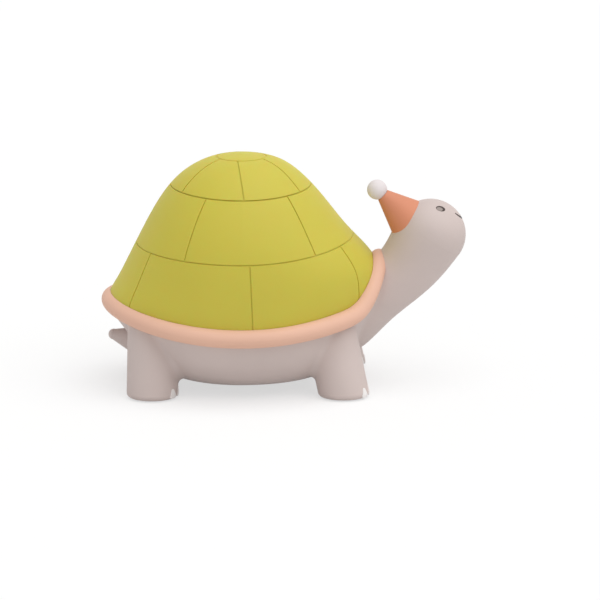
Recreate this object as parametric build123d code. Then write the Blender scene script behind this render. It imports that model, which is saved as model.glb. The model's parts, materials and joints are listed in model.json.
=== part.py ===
from build123d import *

import math
import os

# A child's night light in the shape of a tortoise. Millimetres, with +X to the head, +Y to the animal's left
# and +Z up. The origin is on the floor, below the middle of the overall length.

# Clearances and cuts
fit_gap = 0.15
running_gap = 0.06
screw_gap = 0.03
swing_gap = 0.35
overrun = 60.0

# Rounded form of shade and belly
shell_x = -21.0
belly_height = 4.8
crown_height = 116.7
back_reach = 65.0
front_reach = 68.6
half_width = 53.0
dome_wall = 2.4
casing_wall = 2.6

# Level outlines of that form: height, back reach, front reach and half width
form_shares = (
    (0.000, 0.446, 0.481, 0.490),
    (0.018, 0.569, 0.598, 0.623),
    (0.053, 0.692, 0.715, 0.755),
    (0.124, 0.815, 0.831, 0.887),
    (0.213, 0.900, 0.892, 0.972),
    (0.345, 1.026, 0.974, 0.998),
    (0.435, 0.958, 0.995, 0.988),
    (0.510, 0.890, 0.980, 0.969),
    (0.643, 0.775, 0.803, 0.902),
    (0.784, 0.642, 0.616, 0.760),
    (0.909, 0.463, 0.430, 0.547),
    (0.962, 0.318, 0.309, 0.383),
    (0.991, 0.157, 0.152, 0.189),
)

# Seam between shade and body: low at the sides, higher at both ends, arched over the neck
seam_side_height = 34.8
seam_back_rise = 8.5
seam_front_rise = 10.3
arch_rise = 19.0
arch_half_angle = 40
arch_angle_step = 5
seam_reach_share = 1.4

# Rim band over the seam
rim_half_thickness = 5.1
rim_half_height = 4.5
rim_neck_loss_share = 0.22
rim_turn_step = 0.5
rim_angles = (0, 7, 14, 20, 26, 34, 46, 62, 80, 100, 120, 140, 160, 180)

# Engraved plate lines of the shade
groove_width = 0.6
groove_depth = 0.45
crown_groove_depth = 0.2
groove_start = 12.0
upper_ring_height = 99.6
upper_ring_back_rise = 5.0
upper_ring_front_rise = 6.5
lower_ring_height = 70.5
lower_ring_back_rise = 2.6
lower_ring_front_rise = 8.5
# Turn round the shade and lean of each upright line
top_row_lines = ((34, 0), (87, -7), (147, 0))
middle_row_lines = ((46, -4), (125, 5))
back_line = (180, 0)
bottom_row_lines = ((26, -4), (85, -2), (152, 6))

# Neck and head
head_x = 73.0
head_height = 75.5
head_radius = 17.6
# Middle and radius of the neck from its root to the head: X, height and radius
neck_stations = (
    (25.0, 28.5, 15.3),
    (38.6, 38.6, 15.4),
    (51.6, 49.4, 14.6),
    (63.4, 61.3, 16.0),
    (69.2, 69.8, 17.2),
    (head_x, head_height, head_radius),
)
neck_blend = 6.0

# Tail
tail_root_x = -70.0
tail_root_height = 20.6
tail_root_radius = 8.5
tail_tip_x = -85.2
tail_tip_height = 24.8
tail_tip_radius = 2.7

# Legs
leg_half_length = 12.7
leg_half_width = 11.5
leg_y = 31.5
back_leg_x = -65.6
front_leg_x = 29.4
back_leg_lean = 1.0
front_leg_lean = 9.5
leg_side_lean = 7.8
leg_top_height = 46.0
leg_blend = 3.5
blend_top = 30.0
sole_height = 0.5
sole_round = 2.4

# Foot pads and toe nails
pad_radius = 7.0
pad_thickness = 1.5
nail_half_width = 2.4
nail_height = 6.4
nail_low = 1.3
nail_round = 0.9
nail_thickness = 0.4
nail_angles = (-31, 0, 31)

# Hat
hat_base_x = 61.0
hat_base_height = 84.1
hat_lean_angle = 43.7
hat_length = 16.3
hat_base_radius = 10.5
hat_tip_radius = 3.4
hat_root_depth = 8.0
hat_stub_radius = 3.5
hat_stub_length = 5.0
pompom_radius = 5.0
pompom_peg_radius = 1.5
pompom_peg_length = 4.0
pompom_sink = 1.0

# Base cover and its screws
cover_x = -19.0
cover_half_length = 24.0
cover_half_width = 20.0
cover_thickness = 1.8
cover_ledge = 3.6
cover_boss_radius = 2.8
cover_boss_top = 12.4
screw_radius = 1.1
screw_head_radius = 2.0
screw_head_height = 1.2
base_screw_length = 7.5

# Push button and its switch
button_radius = 6.0
button_recess = 0.4
button_flange_radius = 7.6
button_flange_thickness = 1.2
button_stem_radius = 2.2
button_travel = 0.8
switch_side = 6.0
switch_height = 3.5
plunger_radius = 1.7
plunger_reach = 1.5
plunger_sink = 1.6

# Control board
board_back_x = -60.5
board_front_x = 7.0
board_half_width = 13.0
board_height = 13.6
board_thickness = 1.6
board_post_radius = 2.6
board_post_inset = 3.4
board_screw_length = 5.5

# Charging socket, its housing, door and door pin
socket_length = 7.4
socket_width = 9.0
socket_tall = 3.2
socket_back_x = -68.6
socket_wall = 0.4
tongue_half_width = 3.0
housing_back_x = -72.0
housing_front_x = -58.0
housing_half_width = 9.4
housing_low = 6.6
housing_high = 19.0
housing_round = 3.0
housing_wall = 2.2
door_half_width = 7.0
door_thickness = 1.8
door_low = 8.3
door_high = 15.9
pin_radius = 0.45
pin_half_length = 8.6

# Light frame and its posts
frame_height = 40.0
frame_thickness = 2.0
frame_half_length = 42.0
frame_half_width = 36.0
post_radius = 3.2
post_half_span_x = 30.0
post_half_span_y = 24.0
frame_screw_length = 8.0

# Light source
led_board_radius = 20.0
led_board_thickness = 1.6
led_board_screw_y = 16.5
led_board_screw_length = 5.0
led_side = 3.5
led_thickness = 1.0
led_circle_radius = 11.0
led_count = 8
led_turn_share = 0.5

# Diffuser cap
cap_radius = 28.0
cap_wall = 1.6
cap_side_height = 6.0
cap_flange_radius = 32.0

# Battery, clips and plug
cell_radius = 9.2
cell_length = 65.0
clip_wall = 1.2
clip_length = 9.0
clip_span = 40.0
clip_mouth_share = 0.75
clip_pad_half_width = 5.0
plug_length = 6.0
plug_width = 8.0
plug_height = 4.4
plug_front_x = 5.5

# Leads
lead_radius = 0.7
battery_lead_y = 2.0
battery_lead_run = 10.0
lead_bend = 4.4
led_lead_x = -29.0
led_lead_spacing = 2.4
led_lead_low_y = 11.4
led_lead_high_y = 15.4
led_lead_low_run = 8.0
led_lead_high_run = 9.0
led_lead_bend = 8.0
led_lead_hole_radius = 1.4


# Shared shapes


def level_outline(height, back, front, side):
    """An oval face at a height, with its own reach to the back and to the front."""
    front_half = EllipticalCenterArc((0, 0), front, side, start_angle=-90, arc_size=180)
    back_half = EllipticalCenterArc((0, 0), back, side, start_angle=90, arc_size=180)
    return Pos(shell_x, 0, height) * make_face([front_half, back_half])


def rounded_form(inset):
    """Shade and belly as one rounded solid, drawn in by inset on every side."""
    low = belly_height + inset
    rise = crown_height - belly_height - 2 * inset
    outlines = [
        level_outline(
            low + rise * height_share,
            back_reach * back_share - inset,
            front_reach * front_share - inset,
            half_width * side_share - inset,
        )
        for height_share, back_share, front_share, side_share in form_shares
    ]
    return loft(outlines + [Vertex(shell_x, 0, low + rise)])


def saddle_block(side_height, back_rise, front_rise):
    """Everything below a saddle that is lowest at the middle of the form and rises to its ends."""
    back = back_reach * seam_reach_share
    front = front_reach * seam_reach_share
    growth = seam_reach_share**2
    back_end = (shell_x - back, side_height + back_rise * growth)
    front_end = (shell_x + front, side_height + front_rise * growth)
    back_curve = Bezier(back_end, (shell_x - back / 2, side_height), (shell_x, side_height))
    front_curve = Bezier((shell_x, side_height), (shell_x + front / 2, side_height), front_end)
    low_line = Polyline(front_end, (front_end[0], -overrun), (back_end[0], -overrun), back_end)
    profile = make_face([back_curve, front_curve, low_line])
    return extrude(Plane.XZ * profile, half_width + overrun, both=True)


def arch_share(angle):
    """How much of the arch over the neck is reached at an angle round the form, 0 at the head end."""
    if abs(angle) > arch_half_angle:
        return 0
    return math.cos(math.radians(90 * angle / arch_half_angle)) ** 2


def seam_height(angle):
    """Height of the seam at an angle round the form."""
    along = math.cos(math.radians(angle))
    end_rise = seam_front_rise if along > 0 else seam_back_rise
    return seam_side_height + end_rise * along**2 + arch_rise * arch_share(angle)


def below_seam():
    """Everything below the seam between shade and body."""
    steps = range(-arch_half_angle, arch_half_angle + 1, arch_angle_step)
    crest = [(half_width * math.sin(math.radians(angle)), seam_height(angle)) for angle in steps]
    foot = Polyline(crest[-1], (crest[-1][0], 0), (crest[0][0], 0), crest[0])
    profile = Plane.YZ * make_face([Spline(crest), foot])
    arch_start = front_reach * math.cos(math.radians(arch_half_angle)) - casing_wall
    arch = Pos(shell_x + arch_start, 0, 0) * extrude(profile, front_reach)
    return saddle_block(seam_side_height, seam_back_rise, seam_front_rise) + arch


def upright(x, y, low, high, radius):
    """A round post, pin or hole between two heights."""
    return Pos(x, y, low) * extrude(Circle(radius), high - low)


def block(back, front, half_span, low, high):
    """A box that is centred on the middle plane."""
    return Pos((back + front) / 2, 0, low) * extrude(Rectangle(front - back, 2 * half_span), high - low)


def oval_plate(x, half_length, half_span, low, high):
    """A level oval plate between two heights."""
    return Pos(x, 0, low) * extrude(Ellipse(half_length, half_span), high - low)


def screw(length, gap=0):
    """A countersunk screw standing on its tip, with its head's flat top at height 0; gap makes its hole."""
    head = Pos(0, 0, -screw_head_height) * extrude_cone(screw_radius + gap, screw_head_radius + gap)
    return head + upright(0, 0, -length - gap, 0, screw_radius + gap)


def extrude_cone(low_radius, high_radius):
    """The countersunk part of a screw head."""
    return Pos(0, 0, screw_head_height / 2) * Cone(low_radius, high_radius, screw_head_height)


def screws_down(places, height, length, gap=0):
    """Screws driven down from a face at a height."""
    return [Pos(x, y, height) * screw(length, gap) for x, y in places]


def screws_up(places, height, length, gap=0):
    """Screws driven up from a face at a height."""
    return [Pos(x, y, height) * (Rot(180, 0, 0) * screw(length, gap)) for x, y in places]


# Body


def neck(inset):
    """Neck and head, from a root inside the belly to the round end of the head."""
    places = [Vector(x, 0, height) for x, height, radius in neck_stations]
    sections = []
    for number, (x, height, radius) in enumerate(neck_stations):
        run = places[min(number + 1, len(places) - 1)] - places[max(number - 1, 0)]
        station = Plane(origin=places[number], z_dir=run)
        sections.append(station * Circle(radius - inset))
    on_base = (Align.CENTER, Align.CENTER, Align.MIN)
    head_half = station * Sphere(head_radius - inset, arc_size1=0, align=on_base)
    return loft(sections) + head_half


def tail():
    """A short pointed tail with a round tip."""
    root = Vector(tail_root_x, 0, tail_root_height)
    tip = Vector(tail_tip_x, 0, tail_tip_height)
    path = Line(root, tip)
    cone = loft([Plane(path ^ 0) * Circle(tail_root_radius), Plane(path ^ 1) * Circle(tail_tip_radius)])
    return cone + Pos(tip) * Sphere(tail_tip_radius)


def leg(x, side, lean, inset):
    """One leg, from its rounded sole to a top above the seam."""
    sole = Ellipse(leg_half_length - inset, leg_half_width - inset)
    shank = loft(
        [
            Pos(x, side * leg_y, sole_height + inset) * sole,
            Pos(x - lean, side * (leg_y - leg_side_lean), leg_top_height - inset) * sole,
        ]
    )
    return fillet(shank.edges().sort_by(Axis.Z)[0], sole_round)


leg_places = {
    "front_left": (front_leg_x, 1, front_leg_lean),
    "front_right": (front_leg_x, -1, front_leg_lean),
    "back_left": (back_leg_x, 1, -back_leg_lean),
    "back_right": (back_leg_x, -1, -back_leg_lean),
}


def legs(inset):
    """All four legs, drawn in by inset on every side and cut off at the seam."""
    below = Pos(0, 0, -inset) * lower_space
    return [leg(x, side, lean, inset) & below for x, side, lean in leg_places.values()]


def blended(base, limb, radius):
    """A limb joined to the body, with a soft blend along the edges where they meet low down."""
    both = base + limb
    meeting = [edge for edge in new_edges(base, limb, combined=both) if edge.bounding_box().min.Z < blend_top]
    return fillet(meeting, radius)


def make_body_outer():
    """The outside of belly, legs, neck, head and tail; one side is blended and mirrored to the other."""
    outer = form
    for corner in ("front_left", "back_left"):
        outer = blended(outer, leg(*leg_places[corner], 0), leg_blend)
    half = split(outer & lower_space, bisect_by=Plane.XZ, keep=Keep.BOTTOM)
    return blended(half + mirror(half, Plane.XZ), neck(0), neck_blend) + tail()


hat_axis = Vector(-math.cos(math.radians(hat_lean_angle)), 0, math.sin(math.radians(hat_lean_angle)))
hat_base = Plane(origin=(hat_base_x, 0, hat_base_height), x_dir=(0, 1, 0), z_dir=hat_axis)

form = rounded_form(0)
lower_space = below_seam()
body_outer = make_body_outer()
housing = block(housing_back_x, housing_front_x, housing_half_width, housing_low, housing_high)
housing = fillet(housing.edges().filter_by(Axis.X), housing_round)
hat_stub = hat_base * Pos(0, 0, -hat_root_depth) * extrude(Circle(hat_stub_radius), hat_root_depth + hat_stub_length)

# Places that several pieces share
frame_low = frame_height
frame_top = frame_height + frame_thickness
board_top = board_height + board_thickness
cover_top = belly_height + cover_thickness
socket_height = board_height - socket_tall / 2
door_x = housing_back_x + door_thickness / 2
door_pin_height = door_low + door_thickness / 2
cell_height = frame_low - clip_wall - cell_radius
cell_front_x = shell_x + cell_length / 2

cover_screw_x = cover_half_length - cover_ledge / 2
cover_screw_y = cover_half_width - cover_ledge / 2
cover_screw_places = [
    (cover_x - cover_screw_x, 0),
    (cover_x + cover_screw_x, 0),
    (cover_x, -cover_screw_y),
    (cover_x, cover_screw_y),
]
board_screw_places = [
    (x, side * (board_half_width - board_post_inset))
    for x in (board_back_x + board_post_inset, board_front_x - board_post_inset)
    for side in (-1, 1)
]
post_places = [
    (shell_x + along * post_half_span_x, side * post_half_span_y) for along in (-1, 1) for side in (-1, 1)
]
led_screw_places = [(shell_x, -led_board_screw_y), (shell_x, led_board_screw_y)]


def make_body_casing():
    """The hollow body with its posts, socket housing, base opening and seats."""
    hollow = rounded_form(casing_wall) + legs(casing_wall) + neck(casing_wall)
    hollow += block(
        housing_back_x + housing_wall + door_thickness,
        housing_front_x,
        housing_half_width - housing_wall,
        housing_low + housing_wall,
        housing_high - housing_wall,
    )
    casing = (body_outer + housing) - hollow
    posts = [upright(x, y, 0, frame_low, post_radius) for x, y in post_places]
    posts += [upright(x, y, 0, board_height, board_post_radius) for x, y in board_screw_places]
    wall_middle = rounded_form(casing_wall / 2)
    casing += [post & wall_middle for post in posts]
    casing += hat_stub
    opening_length = cover_half_length - cover_ledge
    opening_width = cover_half_width - cover_ledge
    casing -= oval_plate(cover_x, cover_half_length, cover_half_width, 0, cover_top)
    casing -= oval_plate(cover_x, opening_length, opening_width, 0, belly_height + 2 * casing_wall)
    casing += [upright(x, y, cover_top, cover_boss_top, cover_boss_radius) for x, y in cover_screw_places]
    casing -= screws_up(cover_screw_places, belly_height, base_screw_length, screw_gap)
    casing -= screws_down(board_screw_places, board_top, board_screw_length, screw_gap)
    casing -= screws_down(post_places, frame_top, frame_screw_length, screw_gap)
    casing -= [
        upright(x, side * leg_y, 0, pad_thickness, pad_radius + fit_gap) for x, side, lean in leg_places.values()
    ]
    door_pocket = block(
        housing_back_x - overrun,
        housing_back_x + door_thickness + swing_gap,
        door_half_width + swing_gap,
        door_low - swing_gap,
        door_high + swing_gap,
    )
    socket_hole = block(
        housing_back_x,
        housing_front_x,
        socket_width / 2 + fit_gap,
        board_height - socket_tall - fit_gap,
        board_height + fit_gap,
    )
    pin_hole = Pos(door_x, 0, door_pin_height) * Rot(90, 0, 0) * Cylinder(
        pin_radius + screw_gap, 2 * (pin_half_length + screw_gap)
    )
    return casing - door_pocket - socket_hole - pin_hole


def line_plates(lines, low, high):
    """Thin upright plates outwards from near the middle of the form, for a row of lines on both its sides."""
    middle = (low + high) / 2
    plate = Pos(groove_start + front_reach / 2, 0, 0) * Box(front_reach, groove_width, high - low)
    return [
        Pos(shell_x, 0, middle) * Rot(0, 0, side * turn) * Rot(side * lean, 0, 0) * plate
        for turn, lean in lines
        for side in (-1, 1)
    ]


def ring_blocks(height, back_rise, front_rise):
    """What lies below a ring round the shade, and the thin saddle plate of the ring itself."""
    below = saddle_block(height, back_rise, front_rise)
    return below, saddle_block(height + groove_width, back_rise, front_rise) - below


def engraved_lines():
    """Two rings round the shade and three rows of upright lines, as thin plates."""
    below_upper, upper_ring = ring_blocks(upper_ring_height, upper_ring_back_rise, upper_ring_front_rise)
    below_lower, lower_ring = ring_blocks(lower_ring_height, lower_ring_back_rise, lower_ring_front_rise)
    top_row = [plate - below_upper for plate in line_plates(top_row_lines, lower_ring_height, crown_height)]
    back_plate = line_plates((back_line,), lower_ring_height, crown_height)[:1]
    middle_row = [
        (plate & below_upper) - below_lower
        for plate in line_plates(middle_row_lines, belly_height, crown_height) + back_plate
    ]
    bottom_row = [plate & below_lower for plate in line_plates(bottom_row_lines, belly_height, upper_ring_height)]
    return upper_ring + [lower_ring, *top_row, *middle_row, *bottom_row]


def make_shell_dome():
    """The shade, open below along the seam, with its engraved plate lines."""
    dome = form - rounded_form(dome_wall) - lower_space - neck(0)
    crown_ring = upright(shell_x, 0, upper_ring_height, crown_height, groove_start + groove_width)
    crown_ring -= upright(shell_x, 0, upper_ring_height, crown_height, groove_start)
    dome -= crown_ring - rounded_form(crown_groove_depth)
    return dome - (engraved_lines() - rounded_form(groove_depth))


def rim_place(angle):
    """A point on the seam line, round the outside of the form."""
    reach = front_reach if abs(angle) < 90 else back_reach
    turn = math.radians(angle)
    return Vector(shell_x + reach * math.cos(turn), half_width * math.sin(turn), seam_height(angle))


def make_shell_rim():
    """The rounded band that covers the seam, thinner over the neck, cut to seat on shade and body."""
    sections = []
    for angle in rim_angles:
        reach = front_reach if angle < 90 else back_reach
        turn = math.radians(angle)
        outward = Vector(math.cos(turn) * half_width, math.sin(turn) * reach, 0)
        along = rim_place(angle + rim_turn_step) - rim_place(angle - rim_turn_step)
        section = Plane(origin=rim_place(angle), x_dir=outward, z_dir=along)
        size_share = 1 - rim_neck_loss_share * arch_share(angle)
        sections.append(section * Ellipse(rim_half_thickness * size_share, rim_half_height * size_share))
    half = loft(sections)
    return half + mirror(half, Plane.XZ) - rounded_form(-fit_gap) - body_outer


def make_hat_cone():
    """The party hat, seated on the head over its stub."""
    slope = (hat_base_radius - hat_tip_radius) / hat_length
    root_radius = hat_base_radius + slope * hat_root_depth
    length = hat_length + hat_root_depth
    cone = hat_base * Pos(0, 0, (hat_length - hat_root_depth) / 2) * Cone(root_radius, hat_tip_radius, length)
    stub_hole = hat_base * Pos(0, 0, -hat_root_depth) * extrude(
        Circle(hat_stub_radius + fit_gap), hat_root_depth + hat_stub_length + fit_gap
    )
    peg_hole = hat_base * Pos(0, 0, hat_length) * Cylinder(
        pompom_peg_radius + screw_gap, 2 * (pompom_peg_length + fit_gap)
    )
    return cone - body_outer - stub_hole - peg_hole


def make_hat_pompom():
    """The ball on the hat, with a peg in the hat's tip."""
    tip = hat_base * Pos(0, 0, hat_length)
    ball = tip * Pos(0, 0, pompom_radius - pompom_sink) * Sphere(pompom_radius)
    peg = tip * Pos(0, 0, -pompom_peg_length) * extrude(
        Circle(pompom_peg_radius), pompom_peg_length + pompom_radius
    )
    socket = tip * Pos(0, 0, -hat_length) * extrude(Circle(hat_base_radius), hat_length)
    return ball - socket + peg


def make_toe_nails(x, side, lean):
    """Three thin pointed nails that follow the front of one foot."""
    corners = [(-nail_half_width, 0), (nail_half_width, 0), (0, nail_height)]
    outline = fillet(Polygon(*corners, align=None).vertices(), nail_round)
    plate = extrude(Plane.YZ * outline, leg_half_length + nail_thickness)
    skin = leg(x, side, lean, -nail_thickness) - body_outer
    return Compound([skin & (Pos(x, side * leg_y, nail_low) * Rot(0, 0, turn) * plate) for turn in nail_angles])


# Base cover and button


def make_base_cover():
    """The oval cover under the belly, with the button hole and screw holes."""
    cover = oval_plate(
        cover_x, cover_half_length - fit_gap, cover_half_width - fit_gap, belly_height, cover_top
    )
    cover -= upright(cover_x, 0, 0, crown_height, button_radius + fit_gap)
    cover -= screws_up(cover_screw_places, belly_height, base_screw_length, screw_gap)
    return cover


plunger_low = board_height - switch_height - plunger_reach


def make_power_button():
    """The push button, with the flange that keeps it behind the cover."""
    button = upright(cover_x, 0, belly_height + button_recess, cover_top, button_radius)
    button += upright(cover_x, 0, cover_top, cover_top + button_flange_thickness, button_flange_radius)
    button += upright(cover_x, 0, cover_top, plunger_low, button_stem_radius)
    return button


def make_switch_plunger():
    """The moving pin of the switch, which the button carries up."""
    return upright(cover_x, 0, plunger_low, board_height - switch_height + plunger_sink, plunger_radius)


def make_button_switch():
    """The switch body under the control board, open below for its plunger."""
    low = board_height - switch_height
    body = Pos(cover_x, 0, low) * extrude(Rectangle(switch_side, switch_side), switch_height)
    depth = plunger_sink + button_travel + fit_gap
    return body - upright(cover_x, 0, low, low + depth, plunger_radius + running_gap)


# Control board and charging socket


def make_control_board():
    """The charger and driver board on its posts."""
    board = block(board_back_x, board_front_x, board_half_width, board_height, board_top)
    return board - screws_down(board_screw_places, board_top, board_screw_length, screw_gap)


def make_usb_socket():
    """The charging socket, a shell that is open to the back with a tongue inside."""
    low = board_height - socket_tall
    front = socket_back_x + socket_length
    shell = block(socket_back_x, front, socket_width / 2, low, board_height)
    space = block(
        socket_back_x,
        front - socket_wall,
        socket_width / 2 - socket_wall,
        low + socket_wall,
        board_height - socket_wall,
    )
    tongue = block(
        socket_back_x + socket_wall, front, tongue_half_width, socket_height - socket_wall, socket_height + socket_wall
    )
    return shell - space + tongue


def make_charge_door():
    """The lid over the socket, round at its hinge edge, with the bore for its pin."""
    back = housing_back_x
    plate = block(back, back + door_thickness, door_half_width, door_pin_height, door_high)
    knuckle = Pos(door_x, 0, door_pin_height) * Rot(90, 0, 0) * Cylinder(door_thickness / 2, 2 * door_half_width)
    bore = Pos(door_x, 0, door_pin_height) * Rot(90, 0, 0) * Cylinder(
        pin_radius + running_gap, 2 * door_half_width
    )
    return plate + knuckle - bore


def make_door_pin():
    """The pin that the lid swings on, held at both ends in the housing."""
    return Pos(door_x, 0, door_pin_height) * Rot(90, 0, 0) * Cylinder(pin_radius, 2 * pin_half_length)


# Light frame, light source and diffuser


def make_light_frame():
    """The plate across the body, with bosses under the light source's screws."""
    frame = oval_plate(shell_x, frame_half_length, frame_half_width, frame_low, frame_top)
    frame -= screws_down(post_places, frame_top, frame_screw_length, screw_gap)
    frame -= screws_down(led_screw_places, frame_top + led_board_thickness, led_board_screw_length, screw_gap)
    frame -= [
        upright(led_lead_x + end * led_lead_spacing / 2, led_lead_high_y, 0, crown_height, led_lead_hole_radius)
        for end in (-1, 1)
    ]
    return frame


def make_led_board():
    """The round board of the light source, screwed down on the frame."""
    board = upright(shell_x, 0, frame_top, frame_top + led_board_thickness, led_board_radius)
    return board - screws_down(
        led_screw_places, frame_top + led_board_thickness, led_board_screw_length, screw_gap
    )


def make_led_emitters():
    """A ring of emitters with one more in the middle."""
    low = frame_top + led_board_thickness
    emitter = extrude(Rectangle(led_side, led_side), led_thickness)
    ring = [
        Pos(shell_x, 0, low) * Rot(0, 0, 360 * (n + led_turn_share) / led_count) * Pos(led_circle_radius, 0, 0) * emitter
        for n in range(led_count)
    ]
    return Compound(ring + [Pos(shell_x, 0, low) * emitter])


def make_diffuser_cap():
    """A thin round cap over the light source, with a flange on the frame."""
    outer = extrude(Circle(cap_radius), cap_side_height)
    outer += Pos(0, 0, cap_side_height) * Sphere(cap_radius) & extrude(Circle(cap_radius), overrun)
    inner_radius = cap_radius - cap_wall
    inner = extrude(Circle(inner_radius), cap_side_height)
    inner += Pos(0, 0, cap_side_height) * Sphere(inner_radius) & extrude(Circle(inner_radius), overrun)
    flange = extrude(Circle(cap_flange_radius), cap_wall)
    return Pos(shell_x, 0, frame_top) * (outer + flange - inner)


# Battery and leads


def make_battery_cell():
    """The round rechargeable cell, along the body under the frame."""
    return Pos(shell_x, 0, cell_height) * Rot(0, 90, 0) * Cylinder(cell_radius, cell_length)


def make_battery_clips():
    """Two spring clips under the frame, open below so that the cell snaps in."""
    inner = cell_radius + running_gap
    outer = cell_radius + clip_wall
    clips = []
    for side in (-1, 1):
        x = shell_x + side * clip_span / 2
        axis = Pos(x, 0, cell_height) * Rot(0, 90, 0)
        clip = axis * Cylinder(outer, clip_length)
        clip += Pos(x, 0, frame_low - clip_wall) * extrude(Rectangle(clip_length, 2 * clip_pad_half_width), clip_wall)
        mouth = Pos(x, 0, cell_height - outer) * Box(clip_length, 2 * inner * clip_mouth_share, 2 * clip_wall + inner)
        clips.append(clip - axis * Cylinder(inner, clip_length) - mouth)
    return Compound(clips)


def make_battery_plug():
    """The plug of the battery's leads, on top of the control board."""
    return block(plug_front_x - plug_length, plug_front_x, plug_width / 2, board_top, board_top + plug_height)


def tube(points, bend):
    """A lead along straight runs with rounded bends."""
    path = FilletPolyline(points, radius=bend)
    return sweep(Plane(path ^ 0) * Circle(lead_radius), path)


def make_battery_leads():
    """Two leads from the front end of the cell down to its plug."""
    far_x = cell_front_x + battery_lead_run
    low = board_top + plug_height / 2
    leads = []
    for side in (-1, 1):
        y = side * battery_lead_y
        points = [(cell_front_x, y, cell_height), (far_x, y, cell_height), (far_x, y, low), (plug_front_x, y, low)]
        leads.append(tube(points, lead_bend))
    return Compound(leads)


def make_led_leads():
    """Two leads from the control board up past the cell to the light source."""
    leads = []
    for end in (-1, 1):
        x = led_lead_x + end * led_lead_spacing / 2
        points = [
            (x, led_lead_low_y, board_top),
            (x, led_lead_low_y, board_top + led_lead_low_run),
            (x, led_lead_high_y, frame_low - led_lead_high_run),
            (x, led_lead_high_y, frame_top),
        ]
        leads.append(tube(points, led_lead_bend))
    return Compound(leads)


# Write every piece

pieces = {
    "body_casing": make_body_casing(),
    "shell_dome": make_shell_dome(),
    "shell_rim": make_shell_rim(),
    "hat_cone": make_hat_cone(),
    "hat_pompom": make_hat_pompom(),
    "base_cover": make_base_cover(),
    "base_screws": Compound(screws_up(cover_screw_places, belly_height, base_screw_length)),
    "power_button": make_power_button(),
    "switch_plunger": make_switch_plunger(),
    "button_switch": make_button_switch(),
    "control_board": make_control_board(),
    "board_screws": Compound(screws_down(board_screw_places, board_top, board_screw_length)),
    "usb_socket": make_usb_socket(),
    "charge_door": make_charge_door(),
    "door_pin": make_door_pin(),
    "light_frame": make_light_frame(),
    "frame_screws": Compound(screws_down(post_places, frame_top, frame_screw_length)),
    "led_board": make_led_board(),
    "led_board_screws": Compound(
        screws_down(led_screw_places, frame_top + led_board_thickness, led_board_screw_length)
    ),
    "led_emitters": make_led_emitters(),
    "diffuser_cap": make_diffuser_cap(),
    "battery_cell": make_battery_cell(),
    "battery_clips": make_battery_clips(),
    "battery_plug": make_battery_plug(),
    "battery_leads": make_battery_leads(),
    "led_leads": make_led_leads(),
}
for corner, (leg_x, leg_side, leg_lean) in leg_places.items():
    pieces["toe_nails_" + corner] = make_toe_nails(leg_x, leg_side, leg_lean)
    pieces["foot_pad_" + corner] = upright(leg_x, leg_side * leg_y, 0, pad_thickness, pad_radius)

os.makedirs("parts", exist_ok=True)
for node, shape in pieces.items():
    export_step(shape, f"parts/{node}.step")
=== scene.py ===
"""Looks of a child's tortoise night light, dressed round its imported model."""

import json
import math

import bmesh
import bpy
from mathutils import Matrix, Vector


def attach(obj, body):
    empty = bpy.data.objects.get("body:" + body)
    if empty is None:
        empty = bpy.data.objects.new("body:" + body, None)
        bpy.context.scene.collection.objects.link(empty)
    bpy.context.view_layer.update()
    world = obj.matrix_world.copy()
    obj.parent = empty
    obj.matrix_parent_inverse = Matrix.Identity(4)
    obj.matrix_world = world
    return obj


# Camera and floor, in metres and degrees, with the lens and sensor in millimetres
camera_turn = -1.0
camera_elevation = 13.3
camera_distance = 2.0
camera_target = (0.008, 0.0, 0.0419)
camera_lens = 240.0
camera_sensor = 36.0
floor_half = 3.0
floor_height = -0.00005

# The round of the head, which carries the prints
head_centre = (0.073, 0.0, 0.0755)
head_radius = 0.0176
print_height = 0.00006
fill_height = 0.00011
print_depth = 0.00012
print_weld = 0.000006

# Eyes: direction on the head, half sizes, tilt and the paler oval inside
eye_turn = 61.8
eye_lift = 56.6
eye_half_length = 0.0024
eye_half_width = 0.0019
eye_roll = 20.0
eye_line_share = 1.0
eye_line_shift = (0.0, 0.0)
eye_fill_share = 0.68
eye_fill_shift = (-0.0006, -0.0005)
eye_rings = 6
eye_spokes = 48

# Smile: half its turn round the head, lowest direction, rise of its ends and width
smile_turn = 25.0
smile_low = 29.0
smile_rise = 12.8
smile_half_width = 0.0007
smile_taper_share = 0.5
smile_taper_power = 4
smile_steps = 40

# Light levels
world_light = 0.58
world_shown = 1.0
world_colour = (1.0, 1.0, 1.0, 1.0)
floor_bounce = (0.85, 0.85, 0.85, 1.0)
floor_shown = (0.35, 0.35, 0.35, 1.0)
floor_glow = 0.622
key_place = (0.45, -0.35, 1.4)
key_softness = 70.0
key_power = 1.75

# Moulded plastic: range of roughness, mottling and its size, grain and its depth, light inside
plastic_roughness = (0.52, 0.64)
plastic_mottle_share = 0.03
plastic_patch = 0.03
plastic_grain = 0.0006
plastic_grain_depth = 0.00003
plastic_bump = 0.25
plastic_specular = 0.35
gloss_patch_grains = 4
milky_depth = 0.0012

# Brushed metal: range of roughness, size, stretch and depth of its marks
metal_roughness = (0.28, 0.45)
metal_metallic = 1.0
mark_size = 0.0004
mark_detail = 3.0
mark_stretch = (1.0, 1.0, 0.1)
mark_shade_shares = (0.85, 1.1)
mark_depth = 0.00002
mark_bump = 0.2

# Patterns: detail of the noise, its stretch where it has none, and the places of the two colours on it
noise_detail = 2.0
noise_stretch = (1.0, 1.0, 1.0)
ramp_places = (0.3, 0.7)

# Curve from written colours to light
colour_top = 255
curve_knee = 0.04045
curve_slope = 12.92
curve_offset = 0.055
curve_power = 2.4

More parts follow.
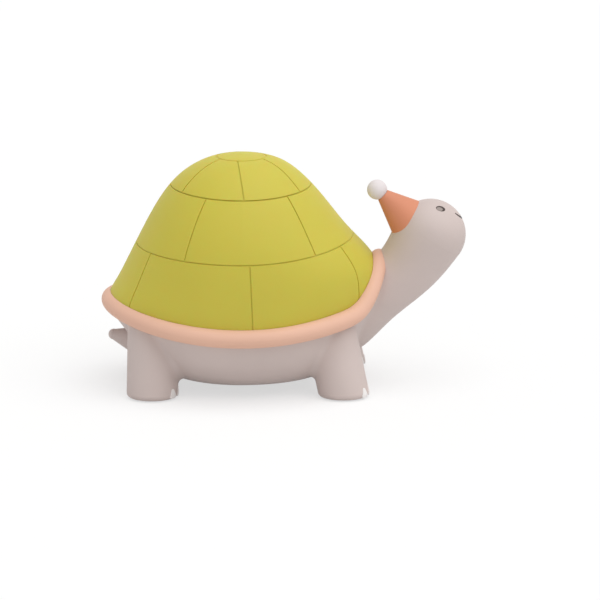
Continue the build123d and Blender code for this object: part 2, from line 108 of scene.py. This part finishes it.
# Plastics by slot, with colours as red, green and blue from 0 to 255
plastics = {
    "casing": {"colour": (203, 188, 183)},
    "shade": {"colour": (200, 188, 69), "mottle_share": 0.02, "patch": 0.05, "milky": 0.35},
    "rim": {"colour": (226, 181, 158), "mottle_share": 0.02},
    "hat": {"colour": (213, 139, 107)},
    "pompom": {"colour": (228, 220, 220), "roughness": (0.7, 0.85)},
    "nails": {"colour": (236, 232, 230), "roughness": (0.4, 0.5)},
    "pads": {"colour": (112, 106, 102), "roughness": (0.8, 0.95)},
    "button": {"colour": (226, 220, 214)},
    "black_plastic": {"colour": (32, 32, 34)},
    "white_plastic": {"colour": (226, 226, 222)},
    "board": {"colour": (20, 92, 48), "roughness": (0.3, 0.45)},
    "light_board": {"colour": (232, 232, 230), "roughness": (0.3, 0.4)},
    "emitters": {"colour": (238, 206, 84), "roughness": (0.3, 0.4)},
    "diffuser": {"colour": (240, 238, 230), "roughness": (0.5, 0.6)},
    "cell": {"colour": (48, 98, 160), "roughness": (0.25, 0.4)},
    "leads": {"colour": (170, 30, 28), "roughness": (0.35, 0.5)},
}

# Metals by slot
metals = {
    "screws": (190, 190, 188),
    "socket": (196, 196, 196),
    "clips": (196, 196, 194),
}

# Prints on the head
prints = {
    "eye_line": {"colour": (60, 46, 40), "roughness": (0.4, 0.5)},
    "eye_fill": {"colour": (150, 138, 132), "roughness": (0.4, 0.5)},
}


def linear(colour):
    """The linear RGBA value of a colour that is written from 0 to 255."""
    values = []
    for channel in colour:
        share = channel / colour_top
        if share <= curve_knee:
            values.append(share / curve_slope)
        else:
            values.append(((share + curve_offset) / (1 + curve_offset)) ** curve_power)
    return (*values, 1.0)


def shaded(colour, share):
    """A linear colour made lighter or darker by a share."""
    return (*[min(1.0, channel * share) for channel in colour[:3]], 1.0)


def empty_tree(owner):
    """The cleared node tree of a material or world."""
    owner.use_nodes = True
    owner.node_tree.nodes.clear()
    return owner.node_tree


def new_material(name):
    """A node material with only its shader and output, joined."""
    material = bpy.data.materials.new(name)
    tree = empty_tree(material)
    output = tree.nodes.new("ShaderNodeOutputMaterial")
    shader = tree.nodes.new("ShaderNodeBsdfPrincipled")
    tree.links.new(shader.outputs["BSDF"], output.inputs["Surface"])
    return material, tree, shader


def noise(tree, size, detail=noise_detail, stretch=noise_stretch):
    """A noise pattern whose features are about the given size, fixed to the object."""
    place = tree.nodes.new("ShaderNodeTexCoord")
    mapping = tree.nodes.new("ShaderNodeMapping")
    mapping.inputs["Scale"].default_value = stretch
    pattern = tree.nodes.new("ShaderNodeTexNoise")
    pattern.inputs["Scale"].default_value = 1.0 / size
    pattern.inputs["Detail"].default_value = detail
    tree.links.new(place.outputs["Object"], mapping.inputs["Vector"])
    tree.links.new(mapping.outputs["Vector"], pattern.inputs["Vector"])
    return pattern.outputs["Fac"]


def two_shades(tree, factor, base, shares):
    """A linear colour that runs from one share of itself to another along a factor."""
    ramp = tree.nodes.new("ShaderNodeValToRGB")
    for element, place, share in zip(ramp.color_ramp.elements, ramp_places, shares):
        element.position = place
        element.color = shaded(base, share)
    tree.links.new(factor, ramp.inputs["Fac"])
    return ramp.outputs["Color"]


def value_range(tree, factor, low, high):
    """A factor spread between a low and a high value."""
    spread = tree.nodes.new("ShaderNodeMapRange")
    spread.inputs["To Min"].default_value = low
    spread.inputs["To Max"].default_value = high
    tree.links.new(factor, spread.inputs["Value"])
    return spread.outputs["Result"]


def bump(tree, shader, height, distance, strength):
    """Roughens a shader's surface with a height pattern."""
    relief = tree.nodes.new("ShaderNodeBump")
    relief.inputs["Distance"].default_value = distance
    relief.inputs["Strength"].default_value = strength
    tree.links.new(height, relief.inputs["Height"])
    tree.links.new(relief.outputs["Normal"], shader.inputs["Normal"])


def moulded(
    name,
    colour,
    roughness=plastic_roughness,
    mottle_share=plastic_mottle_share,
    patch=plastic_patch,
    milky=0.0,
):
    """Moulded plastic: faint mottling, uneven gloss, a fine grain and some light inside if milky."""
    material, tree, shader = new_material(name)
    shares = (1 - mottle_share, 1 + mottle_share)
    mottling = two_shades(tree, noise(tree, patch), linear(colour), shares)
    gloss = value_range(tree, noise(tree, plastic_grain * gloss_patch_grains), *roughness)
    tree.links.new(mottling, shader.inputs["Base Color"])
    tree.links.new(gloss, shader.inputs["Roughness"])
    shader.inputs["Specular IOR Level"].default_value = plastic_specular
    shader.inputs["Subsurface Weight"].default_value = milky
    shader.inputs["Subsurface Scale"].default_value = milky_depth
    bump(tree, shader, noise(tree, plastic_grain), plastic_grain_depth, plastic_bump)
    return material


def brushed_metal(name, colour):
    """Plated steel with fine marks drawn one way."""
    material, tree, shader = new_material(name)
    marks = noise(tree, mark_size, mark_detail, mark_stretch)
    streaks = two_shades(tree, marks, linear(colour), mark_shade_shares)
    tree.links.new(streaks, shader.inputs["Base Color"])
    tree.links.new(value_range(tree, marks, *metal_roughness), shader.inputs["Roughness"])
    shader.inputs["Metallic"].default_value = metal_metallic
    bump(tree, shader, marks, mark_depth, mark_bump)
    return material


def head_point(direction, lift):
    """A point on the head along a direction, raised by a small height."""
    return Vector(head_centre) + direction.normalized() * (head_radius + lift)


def printed(name, outlines, height, material):
    """A thin printed layer on the head, from outlines of directions."""
    shape = bmesh.new()
    for outline in outlines:
        corners = [shape.verts.new(head_point(Vector(direction), height)) for direction in outline]
        shape.faces.new(corners)
    bmesh.ops.remove_doubles(shape, verts=shape.verts, dist=print_weld)
    bmesh.ops.recalc_face_normals(shape, faces=shape.faces)
    mesh = bpy.data.meshes.new(name)
    shape.to_mesh(mesh)
    shape.free()
    mesh.polygons.foreach_set("use_smooth", [True] * len(mesh.polygons))
    piece = bpy.data.objects.new(name, mesh)
    bpy.context.collection.objects.link(piece)
    thickness = piece.modifiers.new("thickness", "SOLIDIFY")
    thickness.thickness = print_depth
    thickness.offset = -1.0
    piece.data.materials.append(material)
    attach(piece, "lamp")


def eye_frame(side):
    """The directions along an eye's length and width, and out of its middle."""
    turn = math.radians(eye_turn) * side
    lift = math.radians(eye_lift)
    out = Vector((math.cos(lift) * math.cos(turn), math.cos(lift) * math.sin(turn), math.sin(lift)))
    along = Vector((0, 0, 1)).cross(out).normalized() * -side
    up = out.cross(along) * -side
    roll = Matrix.Rotation(math.radians(eye_roll) * side, 3, out)
    return roll @ along, roll @ up, out


def print_eye(name, side, share, shift, height, material):
    """An oval printed on one side of the head."""
    along, up, out = eye_frame(side)

    def direction(ring, spoke):
        angle = 2 * math.pi * spoke / eye_spokes
        reach = share * ring / eye_rings
        x = shift[0] + eye_half_length * reach * math.cos(angle)
        y = shift[1] + eye_half_width * reach * math.sin(angle)
        return out * head_radius + along * x + up * y

    outlines = []
    for spoke in range(eye_spokes):
        outlines.append([direction(0, 0), direction(1, spoke), direction(1, spoke + 1)])
        for ring in range(1, eye_rings):
            outlines.append([
                direction(ring, spoke),
                direction(ring + 1, spoke),
                direction(ring + 1, spoke + 1),
                direction(ring, spoke + 1),
            ])
    printed(name, outlines, height, material)


def print_smile(material):
    """The smile, a thin line that curves up to both sides of the face."""

    def direction(step, side):
        share = 2 * step / smile_steps - 1
        turn = math.radians(smile_turn * share)
        lift = math.radians(smile_low + smile_rise * share**2)
        slope = 2 * smile_rise * share / (smile_turn * math.cos(lift))
        half_width = smile_half_width * (1 - smile_taper_share * share**smile_taper_power)
        edge = side * half_width / head_radius / math.hypot(1, slope)
        turn -= edge * slope / math.cos(lift)
        lift += edge
        return (math.cos(lift) * math.cos(turn), math.cos(lift) * math.sin(turn), math.sin(lift))

    outlines = []
    for step in range(smile_steps):
        lower = [direction(step, -1), direction(step + 1, -1)]
        upper = [direction(step + 1, 1), direction(step, 1)]
        outlines.append(lower + upper)
    printed("smile", outlines, print_height, material)


def seen_directly(tree):
    """1 for rays from the camera, off glossy surfaces or through clear ones, and 0 for the rest."""
    path = tree.nodes.new("ShaderNodeLightPath")
    total = path.outputs["Is Camera Ray"]
    for kind in ("Is Glossy Ray", "Is Transmission Ray"):
        more = tree.nodes.new("ShaderNodeMath")
        more.operation = "MAXIMUM"
        tree.links.new(total, more.inputs[0])
        tree.links.new(path.outputs[kind], more.inputs[1])
        total = more.outputs["Value"]
    return total


def diffuse(tree, colour):
    """The output of a plain diffuse shader."""
    shader = tree.nodes.new("ShaderNodeBsdfDiffuse")
    shader.inputs["Color"].default_value = colour
    return shader.outputs["BSDF"]


def mixed(tree, factor, first, second):
    """The first shader where a factor is 0 and the second where it is 1."""
    mix = tree.nodes.new("ShaderNodeMixShader")
    tree.links.new(factor, mix.inputs["Fac"])
    tree.links.new(first, mix.inputs[1])
    tree.links.new(second, mix.inputs[2])
    return mix.outputs["Shader"]


def floor_material():
    """A pale floor that keeps the object's shadow, otherwise shows white, and is clear from below."""
    material = bpy.data.materials.new("floor")
    tree = empty_tree(material)
    output = tree.nodes.new("ShaderNodeOutputMaterial")
    glow = tree.nodes.new("ShaderNodeEmission")
    glow.inputs["Strength"].default_value = floor_glow
    shown = tree.nodes.new("ShaderNodeAddShader")
    tree.links.new(diffuse(tree, floor_shown), shown.inputs[0])
    tree.links.new(glow.outputs["Emission"], shown.inputs[1])
    above = mixed(tree, seen_directly(tree), diffuse(tree, floor_bounce), shown.outputs["Shader"])
    facing = tree.nodes.new("ShaderNodeNewGeometry")
    clear = tree.nodes.new("ShaderNodeBsdfTransparent")
    surface = mixed(tree, facing.outputs["Backfacing"], above, clear.outputs["BSDF"])
    tree.links.new(surface, output.inputs["Surface"])
    return material


def make_floor():
    """The floor under the feet, as part of the stage."""
    mesh = bpy.data.meshes.new("floor")
    sides = ((-1, -1), (1, -1), (1, 1), (-1, 1))
    corners = [(x * floor_half, y * floor_half, floor_height) for x, y in sides]
    mesh.from_pydata(corners, [], [(0, 1, 2, 3)])
    mesh.materials.append(floor_material())
    floor = bpy.data.objects.new("floor", mesh)
    bpy.context.collection.objects.link(floor)


def make_world():
    """Even studio light all round, which shows as white."""
    world = bpy.data.worlds.new("studio")
    tree = empty_tree(world)
    output = tree.nodes.new("ShaderNodeOutputWorld")
    background = tree.nodes.new("ShaderNodeBackground")
    background.inputs["Color"].default_value = world_colour
    strength = value_range(tree, seen_directly(tree), world_light, world_shown)
    tree.links.new(strength, background.inputs["Strength"])
    tree.links.new(background.outputs["Background"], output.inputs["Surface"])
    bpy.context.scene.world = world


def make_lamp(name, place, softness, power):
    """A far, soft lamp that shines on the object from the side of a place."""
    light = bpy.data.lights.new(name, "SUN")
    light.angle = math.radians(softness)
    light.energy = power
    lamp = bpy.data.objects.new(name, light)
    lamp.location = place
    aim = Vector(camera_target) - Vector(place)
    lamp.rotation_euler = aim.to_track_quat("-Z", "Y").to_euler()
    bpy.context.collection.objects.link(lamp)


def make_camera():
    """The camera, turned, raised and set off from its target as in the photograph."""
    data = bpy.data.cameras.new("camera")
    data.lens = camera_lens
    data.sensor_width = camera_sensor
    turn = math.radians(camera_turn)
    lift = math.radians(camera_elevation)
    away = Vector((math.sin(turn) * math.cos(lift), -math.cos(turn) * math.cos(lift), math.sin(lift)))
    camera = bpy.data.objects.new("camera", data)
    camera.location = Vector(camera_target) + camera_distance * away
    camera.rotation_euler = (math.radians(90) - lift, 0, turn)
    bpy.context.collection.objects.link(camera)
    bpy.context.scene.camera = camera


# One finish for each slot
finishes = {slot: moulded(slot, **look) for slot, look in plastics.items()}
finishes.update({slot: brushed_metal(slot, colour) for slot, colour in metals.items()})

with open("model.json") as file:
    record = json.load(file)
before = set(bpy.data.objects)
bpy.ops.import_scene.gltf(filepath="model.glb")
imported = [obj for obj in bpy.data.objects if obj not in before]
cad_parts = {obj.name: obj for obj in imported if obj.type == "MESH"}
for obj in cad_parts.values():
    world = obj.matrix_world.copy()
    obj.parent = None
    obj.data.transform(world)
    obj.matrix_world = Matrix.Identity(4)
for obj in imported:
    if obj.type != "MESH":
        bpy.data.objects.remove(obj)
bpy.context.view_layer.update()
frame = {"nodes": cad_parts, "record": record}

# The solids take the finish of their slot
for subpart in frame["record"]["subparts"]:
    solid = frame["nodes"][subpart["node"]]
    solid.data.materials.clear()
    solid.data.materials.append(finishes[subpart["material_slot"]])

# The face is printed on the head
inks = {name: moulded(name, **look) for name, look in prints.items()}
for side, side_name in ((-1, "right"), (1, "left")):
    line_name = "eye_line_" + side_name
    print_eye(line_name, side, eye_line_share, eye_line_shift, print_height, inks["eye_line"])
    fill_name = "eye_fill_" + side_name
    print_eye(fill_name, side, eye_fill_share, eye_fill_shift, fill_height, inks["eye_fill"])
print_smile(inks["eye_line"])

make_camera()
make_floor()
make_world()
make_lamp("key", key_place, key_softness, key_power)
bpy.context.scene.view_settings.view_transform = "Standard"
